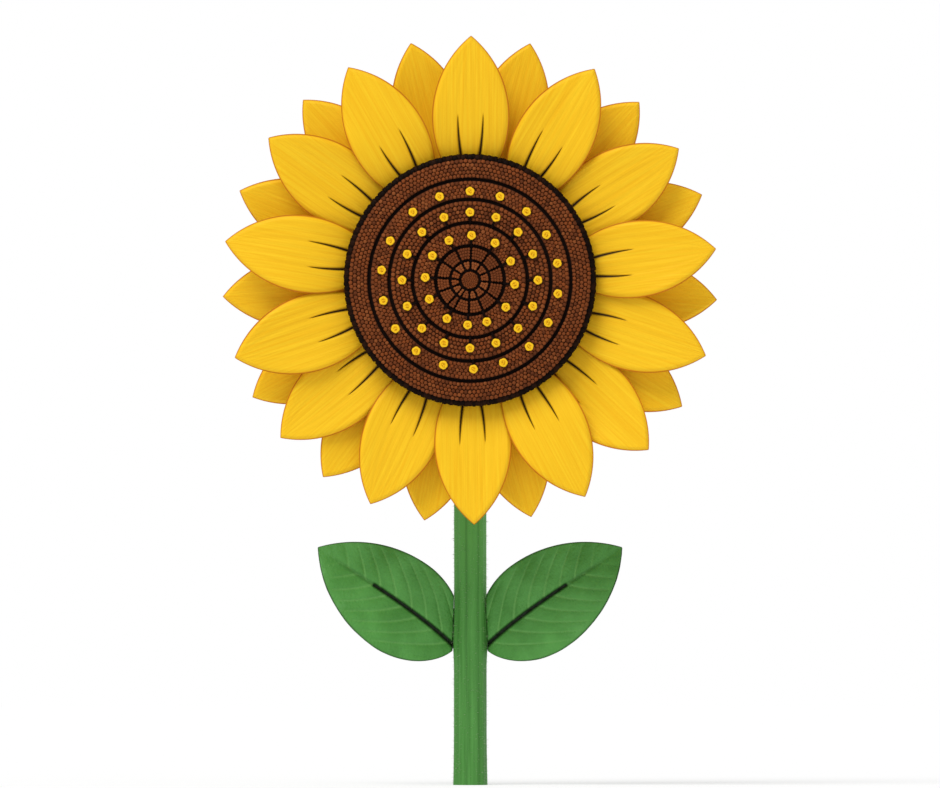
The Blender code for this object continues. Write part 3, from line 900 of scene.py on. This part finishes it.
def bed_lie(row, across):
    radius, depth, _ = bed_profile[row]
    return radius * sin(2 * pi * across), radius * cos(2 * pi * across), depth


bed_brown, tree, shader = new_finish("disc_bed", (0.085, 0.024, 0.008), roughness=0.85, specular=0.1)
mottle = noise_on(tree, (500, 500, 500), 4.0)
brown = ramp(tree, mottle, 0.3, 0.7, (0.060, 0.017, 0.006), (0.110, 0.032, 0.011))
# painted shade: the bottoms of the furrows, the bed under the rim and its back are painted near black
brown = cover(tree, "furrow", brown, (0.006, 0.002, 0.001))
tree.links.new(brown, shader.inputs["Base Color"])
relief(tree, shader, noise_on(tree, (1800, 1800, 1800)), 0.0002)

bed_rows, bed_columns = range(len(bed_profile)), shares(DISC_COLUMNS)[:-1]
mesh = skin("disc_bed", bed_rows, bed_columns, bed_point, bed_lie, closed=True)
mark(mesh, "furrow", net(bed_rows, bed_columns, lambda row, across: bed_profile[row][2]))
weld(piece(mesh, [bed_brown], ["disc"]))

# Florets in bud
# Some two thousand brown disc florets are still shut. Each is a small tube that ends in five lobes,
# folded together over its mouth, and they stand in rows that cross as spirals do.
BUD_SIDES = 10
# Radius and height of each ring of a bud's corners, as shares of its own, and how lobed it is
BUD_RINGS = ((0.86, 0.0, 0.0), (1.0, 0.55, 0.3), (0.86, 0.84, 1.0), (0.50, 1.0, 1.0))
BUD_MOUTH = 0.80  # height of the middle of its mouth, as a share of its own
BUD_LOBE = 0.07
BUD_SEAM = 0.16
BUD_LEAN = 0.12
BUD_HEIGHT = 0.0015
BUD_ROOT = 0.0007  # below the crown of the disc
BUD_SPACING = 0.00212
BUD_DEAL = (0, 0, 0, 0, 1, 1, 2, 2, 3, 4)  # which of the five browns a bud may get
ROW_SPACING = 0.866  # between two rows of a close packing, as a share of the spacing in a row
# Each ring of blooms: its radius, and the angles at which they stand
INNER_BLOOMS = 0.0229, (2, 34, 65, 95.5, 127, 158, 183, 211, 245, 273.5, 303, 332)
MIDDLE_BLOOMS = 0.0347, tuple(22.5 * i for i in range(16))
OUTER_BLOOMS = 0.0454, tuple(19.75 * i for i in range(16)) + (320, 340)
BLOOM_RINGS = (INNER_BLOOMS, MIDDLE_BLOOMS, OUTER_BLOOMS)
BLOOM_RADIUS = 0.00232
TUBE_ROOM = 0.0009  # kept free of buds on each side of a bloom's tube
# Where the dark tubes run: from, to and at which angle. Every bloom of the two inner rings has one
# and one of the outer ring has, and the short one at 222.4 degrees carries on a spoke of the eye.
TUBES = [(FURROWS[0], INNER_BLOOMS[0], angle) for angle in INNER_BLOOMS[1]]
TUBES += [(FURROWS[1], MIDDLE_BLOOMS[0], angle) for angle in MIDDLE_BLOOMS[1]]
TUBES += [(FURROWS[0], FURROWS[0] + 0.0028, 222.4), (FURROWS[2], OUTER_BLOOMS[0], OUTER_BLOOMS[1][9])]

bud_corners = []
for ring_radius, ring_height, lobed in BUD_RINGS:
    for i in range(BUD_SIDES):
        turn, crest = 2 * pi * i / BUD_SIDES, 1 if i % 2 == 0 else -1
        out = ring_radius * (1 + BUD_LOBE * crest * lobed)
        height = ring_height - BUD_SEAM * lobed * (1 - crest) / 2
        bud_corners.append((out * cos(turn), out * sin(turn), height))
bud_corners.append((0.0, 0.0, BUD_MOUTH))
bud_faces = [tuple(reversed(range(BUD_SIDES))), *net_faces(len(BUD_RINGS), BUD_SIDES, closed=True)]
mouth = len(bud_corners) - 1
last_ring = mouth - BUD_SIDES
bud_faces += [(last_ring + i, last_ring + (i + 1) % BUD_SIDES, mouth) for i in range(BUD_SIDES)]


def on_disc(out, angle, lift=0.0):
    """Where something stands on the disc, turned so that its height is square to the face."""
    turn, slope = radians(angle), disc_slope(out)
    side = Vector((cos(turn), 0, -sin(turn)))
    outward, forward = Vector((sin(turn), 0, cos(turn))), Vector((0, -1, 0))
    away = forward * cos(slope) + outward * sin(slope)
    flat = outward * cos(slope) - forward * sin(slope)
    place = Matrix((side, flat, away)).transposed().to_4x4()
    place.translation = on_head(0.0, out, disc_front(out), angle) + lift * away
    return place


def shaped(place, finish):
    """The shape of a bud, stretched and set as place says."""
    return [place @ Vector(corner) for corner in bud_corners], bud_faces, finish


def stretched(radius, height):
    return Matrix.Diagonal((radius, radius, height, 1.0))


def bud(out, angle, radius, height, finish, draw):
    spin = Matrix.Rotation(draw.uniform(0, 2 * pi), 4, "Z")
    lean = Matrix.Rotation(draw.uniform(-BUD_LEAN, BUD_LEAN), 4, "X")
    place = on_disc(out, angle, -BUD_ROOT) @ lean @ spin
    return shaped(place @ stretched(radius, height), finish)


def clear_of_tubes(out, angle, room):
    for start, end, other in TUBES:
        turn = radians(angle - other)
        if start < out < end and abs(out * sin(turn)) < room and cos(turn) > 0:
            return False
    return True


def clear_of_blooms(out, angle, room):
    for ring, angles in BLOOM_RINGS:
        for other in angles:
            turn = radians(angle - other)
            if (out * cos(turn) - ring) ** 2 + (out * sin(turn)) ** 2 < room**2:
                return False
    return True


bud_browns = []
for name, colour in (
    ("bud_brown", (0.200, 0.052, 0.0125)),
    ("bud_deep_brown", (0.160, 0.040, 0.0095)),
    ("bud_red_brown", (0.225, 0.055, 0.0115)),
    ("bud_light_brown", (0.255, 0.072, 0.0180)),
    ("bud_dark_brown", (0.120, 0.030, 0.0072)),
):
    bud_browns.append(new_finish(name, colour, roughness=0.65, specular=0.12)[0])

draw = random.Random(31)
for number, (inner, outer) in enumerate(BANDS, 1):
    inner, outer = inner + FURROW_HALF_WIDTH, outer - FURROW_HALF_WIDTH
    count = round(pi * (inner + outer) / BUD_SPACING)
    first, last = inner / (1 - pi / count), outer / (1 + pi / count)
    rows = round(log(last / first) / (2 * pi * ROW_SPACING / count))
    buds = []
    for row in range(rows + 1):
        out = first * (last / first) ** (row / rows)
        for i in range(count):
            angle = 360 / count * (i + row / 2 + draw.uniform(-0.05, 0.05))
            radius = 0.96 * pi * out / count * draw.uniform(0.95, 1.03)
            height = BUD_HEIGHT * draw.uniform(0.9, 1.12)
            finish = draw.choice(BUD_DEAL)
            made = bud(out * draw.uniform(0.997, 1.003), angle, radius, height, finish, draw)
            bloom_room = BLOOM_RADIUS + 0.45 * radius
            if clear_of_blooms(out, angle, bloom_room) and clear_of_tubes(out, angle, TUBE_ROOM):
                buds.append(made)
    piece(gathered(f"buds_{number}", buds), bud_browns)

# Eye
# In the middle of the disc the youngest buds are still packed tight, in small cushions between a web of
# furrows, whose bed is painted in deep shade: a round button, and two rings of cells round it, parted by
# thirteen spokes.
SPOKES = (2.2, 34.9, 65.1, 95.5, 126, 156.4, 182.2, 209.2, 222.4, 249.2, 274.5, 304.1, 334.7)
SPOKE_HALF_WIDTH = 0.00055
EYE_RINGS = ((0.00585, 0.0094), (0.0108, 0.0168))  # from the inside to the outside of each ring of cells
EYE_DEALS = ((0, 0, 2, 3), (0, 0, 1, 1, 4))  # which browns the cells of each ring may get
CUSHION_DEPTH = 0.0004  # from the crown of the disc down to the top of a cushion
CELL_STEPS = 8
BUTTON_RADIUS = 0.0044
BUTTON_DEPTH = 0.0003
BUTTON_FALL = 0.0012  # from its top down to its edge
BUTTON_RINGS = 8
BUTTON_SIDES = 30
BUTTON_BUDS = 60
BUTTON_MARGIN = 0.0004  # kept free of buds at its edge
BUTTON_DEAL = (0, 0, 1, 2)
BUTTON_BUD_RADIUS = 0.00050
GOLDEN_ANGLE = 137.508  # from one bud to the next, as they spiral out from the middle
YOUNG_SPACING = 0.00140
YOUNG_BUD_HEIGHT = 0.0010


def cushion(out, along, across):
    """How far forward a cushion stands: it drops steeply to the furrows at its edges."""
    edge = smoothstep((max(abs(2 * along - 1), abs(across)) - 0.72) / 0.28) ** 1.5
    return disc_front(out) - CUSHION_DEPTH - (FURROW_DEPTH - CUSHION_DEPTH) * edge


def cell(inner, outer, start, end, finish, draw):
    """A cushion between two spokes, and the young buds on it."""

    def cell_angle(out, across):
        spread = radians(end - start) / 2 * out - SPOKE_HALF_WIDTH
        return (start + end) / 2 + degrees(across * spread / out)

    corners = []
    for along in shares(CELL_STEPS):
        for across in shares(CELL_STEPS, -1.0):
            out = inner + (outer - inner) * along
            corners.append(on_head(0.0, out, cushion(out, along, across), cell_angle(out, across)))
    width = CELL_STEPS + 1
    faces = net_faces(width, width)
    # Its back is one face, which runs round its whole edge.
    edge = list(range(CELL_STEPS)) + [row * width + CELL_STEPS for row in range(CELL_STEPS)]
    faces.append([len(corners) - 1 - corner for corner in reversed(edge)] + edge[::-1])
    things = [(corners, faces, finish)]
    rows = max(2, round((outer - inner) / YOUNG_SPACING))
    for row in range(rows):
        out = inner + (outer - inner) * (row + 0.5) / rows
        in_row = max(1, round((radians(end - start) * out - 2 * SPOKE_HALF_WIDTH) / YOUNG_SPACING))
        for i in range(in_row):
            angle = cell_angle(out, 2 * (i + 0.5) / in_row - 1)
            radius = 0.54 * YOUNG_SPACING * draw.uniform(0.9, 1.05)
            things.append(bud(out, angle + draw.uniform(-0.4, 0.4), radius, YOUNG_BUD_HEIGHT, finish, draw))
    return things


def button():
    """The round cushion in the middle."""
    top = disc_front(0.0) - BUTTON_DEPTH
    corners = [on_head(0.0, 0.0, top)]
    for share in shares(BUTTON_RINGS)[1:]:
        for i in range(BUTTON_SIDES):
            angle = 360 / BUTTON_SIDES * i
            corners.append(on_head(0.0, BUTTON_RADIUS * share, top - BUTTON_FALL * share**6, angle))
    faces = [(0, 1 + (i + 1) % BUTTON_SIDES, 1 + i) for i in range(BUTTON_SIDES)]
    bands = net_faces(BUTTON_RINGS, BUTTON_SIDES, closed=True)
    faces += [[1 + corner for corner in face] for face in bands]
    faces.append(tuple(range(len(corners) - BUTTON_SIDES, len(corners))))
    return corners, faces, 0


draw = random.Random(41)
eye = []
for (inner, outer), deal in zip(EYE_RINGS, EYE_DEALS):
    for start, end in zip(SPOKES, (*SPOKES[1:], SPOKES[0] + 360)):
        eye += cell(inner, outer, start, end, draw.choice(deal), draw)
eye.append(button())
for i in range(BUTTON_BUDS):
    out = (BUTTON_RADIUS - BUTTON_MARGIN) * sqrt((i + 0.5) / BUTTON_BUDS)
    finish = draw.choice(BUTTON_DEAL)
    eye.append(bud(out, GOLDEN_ANGLE * i, BUTTON_BUD_RADIUS, YOUNG_BUD_HEIGHT, finish, draw))
piece(gathered("eye", eye), bud_browns)

# Florets in bloom
# Three rings of florets have opened. Each has a yellow mouth of five blunt lobes, and a split stigma
# dusted with pollen. Those of the two inner rings lean out on short dark tubes from the furrow.
BLOOM_HEIGHT = 0.0022
BLOOM_LOBES = 5
BLOOM_NOTCH = 0.09  # depth of the notches between its lobes, as a share of its radius
BLOOM_STEPS = 30
# Radius and height of each ring of its mouth, as shares of its own, from the middle out and down
BLOOM_PROFILE = (
    (0.0, 0.60), (0.30, 0.72), (0.62, 1.0), (0.90, 0.96), (1.0, 0.80),
    (0.9, 0.66), (0.3, 0.30), (0.28, -0.5), (0.0, -0.5),
)
# Radius and height of what stands in it
ANTHERS = (0.00062, 0.0012)
STIGMA = (0.00045, 0.0007)
STIGMA_OUT = 0.00042  # from the middle of the bloom to each half of the split stigma
TUBE_RADIUS = 0.00062
TUBE_SIDES = 8
TUBE_RINGS = ((0.0, 1.25), (0.35, 1.0), (0.8, 0.8), (1.0, 0.55))  # place along it, and share of its radius
TUBE_LIFT = (0.0002, 0.0012)  # height of its two ends above the face of the disc
TUBE_SUNK = (0.0004, 0.0005)  # how far they reach into the furrow, and stop short of the bloom's middle


def bloom(out, angle, draw):
    """The lobed mouth of an open floret, its anthers and its stigma."""
    spin = draw.uniform(0, 2 * pi)
    place = on_disc(out, angle)
    corners = []
    for share, height in BLOOM_PROFILE:
        for i in range(BLOOM_STEPS):
            turn = 2 * pi * i / BLOOM_STEPS
            between_lobes = (0.5 - 0.5 * cos(BLOOM_LOBES * (turn - spin))) ** 3
            notch = 1 - BLOOM_NOTCH * smoothstep((share - 0.4) / 0.4) * between_lobes
            radius = BLOOM_RADIUS * share * notch
            corners.append(place @ Vector((radius * cos(turn), radius * sin(turn), BLOOM_HEIGHT * height)))
    # Its rings run outwards and down, so its faces run the other way round than those of a bud.
    faces = [(a, d, c, b) for a, b, c, d in net_faces(len(BLOOM_PROFILE), BLOOM_STEPS, closed=True)]
    anthers = Matrix.Translation((0, 0, 0.55 * BLOOM_HEIGHT)) @ stretched(*ANTHERS)
    things = [(corners, faces, 0), shaped(place @ anthers, 1)]
    for side in (-STIGMA_OUT, STIGMA_OUT):
        tip = Matrix.Translation((side * cos(spin), side * sin(spin), 0.95 * BLOOM_HEIGHT))
        things.append(shaped(place @ tip @ stretched(*STIGMA), 0))
    return things


def tube(start, end, angle):
    """A dark tube that leans out along the disc, to the back of a bloom."""
    first = on_disc(start - TUBE_SUNK[0], angle, TUBE_LIFT[0]).translation
    last = on_disc(end - TUBE_SUNK[1], angle, TUBE_LIFT[1]).translation
    way = (last - first).normalized()
    side = way.cross(Vector((0, -1, 0))).normalized()
    other = way.cross(side)
    corners = []
    for share, width in TUBE_RINGS:
        for i in range(TUBE_SIDES):
            turn = 2 * pi / TUBE_SIDES * i
            round_it = cos(turn) * side + sin(turn) * other
            corners.append(first.lerp(last, share) + width * TUBE_RADIUS * round_it)
    faces = net_faces(len(TUBE_RINGS), TUBE_SIDES, closed=True)
    faces += [tuple(range(TUBE_SIDES))[::-1], tuple(range(len(corners) - TUBE_SIDES, len(corners)))]
    return corners, faces, 2


pollen_yellow, _, _ = new_finish("pollen_yellow", (0.930, 0.550, 0.012), roughness=0.6, specular=0.12)
anther_brown, _, _ = new_finish("anther_brown", (0.560, 0.260, 0.012), roughness=0.6, specular=0.12)
tube_dark, _, _ = new_finish("tube_dark", (0.005, 0.0015, 0.0008), roughness=0.7, specular=0.06)
draw = random.Random(47)
blooms = []
for ring, angles in BLOOM_RINGS:
    for angle in angles:
        blooms += bloom(ring, angle, draw)
blooms += [tube(*run) for run in TUBES]
weld(piece(gathered("blooms", blooms), [pollen_yellow, anther_brown, tube_dark]))

# Rim
# Round the edge of the disc, between the buds and the petals, stand two rows of dark pointed scales, dry
# and stiff, that grow from the edge of the receptacle. Their near black is partly their own colour and
# partly painted shade, the shade that lies between the disc and the petals.
SCALES = 104
SCALE_HALF_WIDTH = 0.0016
SCALE_TIP_HALF_WIDTH = 0.00004
SCALE_THICKNESS = 0.0003
SCALE_ROOT = -0.0007  # its foot is sunk in the edge of the disc
SCALE_BOW = 0.0017
SCALE_HOLLOW = 0.0004
SCALE_INSET = 0.0002  # towards the middle of the disc
SCALE_FOOT_ANGLE = 64  # where on the rounded edge it starts, in degrees from the side to the front
SCALE_WRAP = 54  # degrees of that edge that it wraps
SCALE_ROW_STEP = 8  # degrees that the second row is set back
SCALE_ROWS = 5
SCALE_DEAL = (0, 0, 1)


def scale(angle, row, draw):
    """A pointed scale that leans out over the rounded edge of the disc."""
    corners = []
    broad = draw.uniform(0.85, 1.05)
    for along in shares(SCALE_ROWS):
        around = SCALE_FOOT_ANGLE - SCALE_WRAP * along - SCALE_ROW_STEP * row
        radius, depth = on_rim(around)
        lift = SCALE_ROOT + SCALE_BOW * sin(0.75 * pi * along)
        radius += lift * cos(radians(around)) - SCALE_INSET
        depth += lift * sin(radians(around))
        half = SCALE_HALF_WIDTH * (1 - along**2.2) * broad + SCALE_TIP_HALF_WIDTH
        for across in (-1, -0.5, 0, 0.5, 1):
            corners.append(on_head(across * half, radius, depth - SCALE_HOLLOW * across**2, angle))
    return corners, net_faces(SCALE_ROWS + 1, 5), draw.choice(SCALE_DEAL)


# partly painted shade: the scales are near black for the shade between the disc and the petals, as well as
# for their own dark colour
scale_dark, _, _ = new_finish("scale_dark", (0.006, 0.002, 0.001), roughness=0.6, specular=0.06)
scale_brown, _, _ = new_finish("scale_brown", (0.016, 0.005, 0.002), roughness=0.6, specular=0.06)
draw = random.Random(53)
scales = []
for row in range(2):
    for i in range(SCALES):
        scales.append(scale(360 / SCALES * (i + 0.5 * row) + draw.uniform(-0.3, 0.3), row, draw))
rim = piece(gathered("rim_scales", scales), [scale_dark, scale_brown])
thicken(rim, SCALE_THICKNESS)

# Floor, light and camera
# The plant stands on a plain pale floor in soft studio light, and is seen square from in front,
# through a long lens, so that the head hides its neck and little of the stalk is foreshortened.
CAMERA_DISTANCE = 16.0
CAMERA_HEIGHT = 0.2016
FRAME_WIDTH = 0.4825  # of the view, where the petals are
PETAL_PLANE = 0.075  # how far in front of the stalk the petals are
SENSOR_WIDTH = 36  # in millimetres
FLOOR_HALF_WIDTH = 4
FLOOR_GLOW = 0.48  # the floor is a lit table, so that shadows on it are faint
STUDIO_LIGHT = 0.56
BACKDROP_LIGHT = 1.0
WHITE = (1.0, 1.0, 1.0, 1.0)

edge = FLOOR_HALF_WIDTH
floor_corners = [(-edge, -edge, 0), (edge, -edge, 0), (edge, edge, 0), (-edge, edge, 0)]
floor_mesh = bpy.data.meshes.new("floor")
floor_mesh.from_pydata(floor_corners, [], [(0, 1, 2, 3)])
floor = bpy.data.objects.new("floor", floor_mesh)
bpy.context.scene.collection.objects.link(floor)
floor_white, _, shader = new_finish("floor_white", (0.50, 0.50, 0.50), roughness=0.9, specular=0.0)
shader.inputs["Emission Color"].default_value = WHITE
shader.inputs["Emission Strength"].default_value = FLOOR_GLOW
floor_mesh.materials.append(floor_white)

world = bpy.data.worlds.new("studio")
bpy.context.scene.world = world
world.use_nodes = True
tree = world.node_tree
studio = tree.nodes["Background"]
backdrop = tree.nodes.new("ShaderNodeBackground")
for background, strength in ((studio, STUDIO_LIGHT), (backdrop, BACKDROP_LIGHT)):
    background.inputs["Color"].default_value = WHITE
    background.inputs["Strength"].default_value = strength
seen = tree.nodes.new("ShaderNodeMixShader")
tree.links.new(tree.nodes.new("ShaderNodeLightPath").outputs["Is Camera Ray"], seen.inputs["Fac"])
tree.links.new(studio.outputs["Background"], seen.inputs[1])
tree.links.new(backdrop.outputs["Background"], seen.inputs[2])
tree.links.new(seen.outputs["Shader"], tree.nodes["World Output"].inputs["Surface"])


def soft_light(name, azimuth, elevation, spread, strength):
    """Light from far away: azimuth is from straight in front towards the right, in degrees."""
    light = bpy.data.lights.new(name, "SUN")
    light.angle = radians(spread)
    light.energy = strength
    lamp = bpy.data.objects.new(name, light)
    turn, rise = radians(azimuth), radians(elevation)
    source = Vector((sin(turn) * cos(rise), -cos(turn) * cos(rise), sin(rise)))
    lamp.rotation_mode = "QUATERNION"
    lamp.rotation_quaternion = source.to_track_quat("Z", "Y")
    bpy.context.scene.collection.objects.link(lamp)


soft_light("key_light", azimuth=-32, elevation=52, spread=32, strength=1.75)
soft_light("rear_light", azimuth=140, elevation=25, spread=40, strength=0.35)

lens = bpy.data.cameras.new("camera")
lens.sensor_width = SENSOR_WIDTH
lens.lens = SENSOR_WIDTH * (CAMERA_DISTANCE - PETAL_PLANE) / FRAME_WIDTH
lens.clip_end = 100
camera = bpy.data.objects.new("camera", lens)
camera.location = (0.0, -CAMERA_DISTANCE, CAMERA_HEIGHT)
camera.rotation_euler = (pi / 2, 0, 0)
bpy.context.scene.collection.objects.link(camera)
bpy.context.scene.camera = camera
bpy.context.scene.view_settings.view_transform = "Standard"
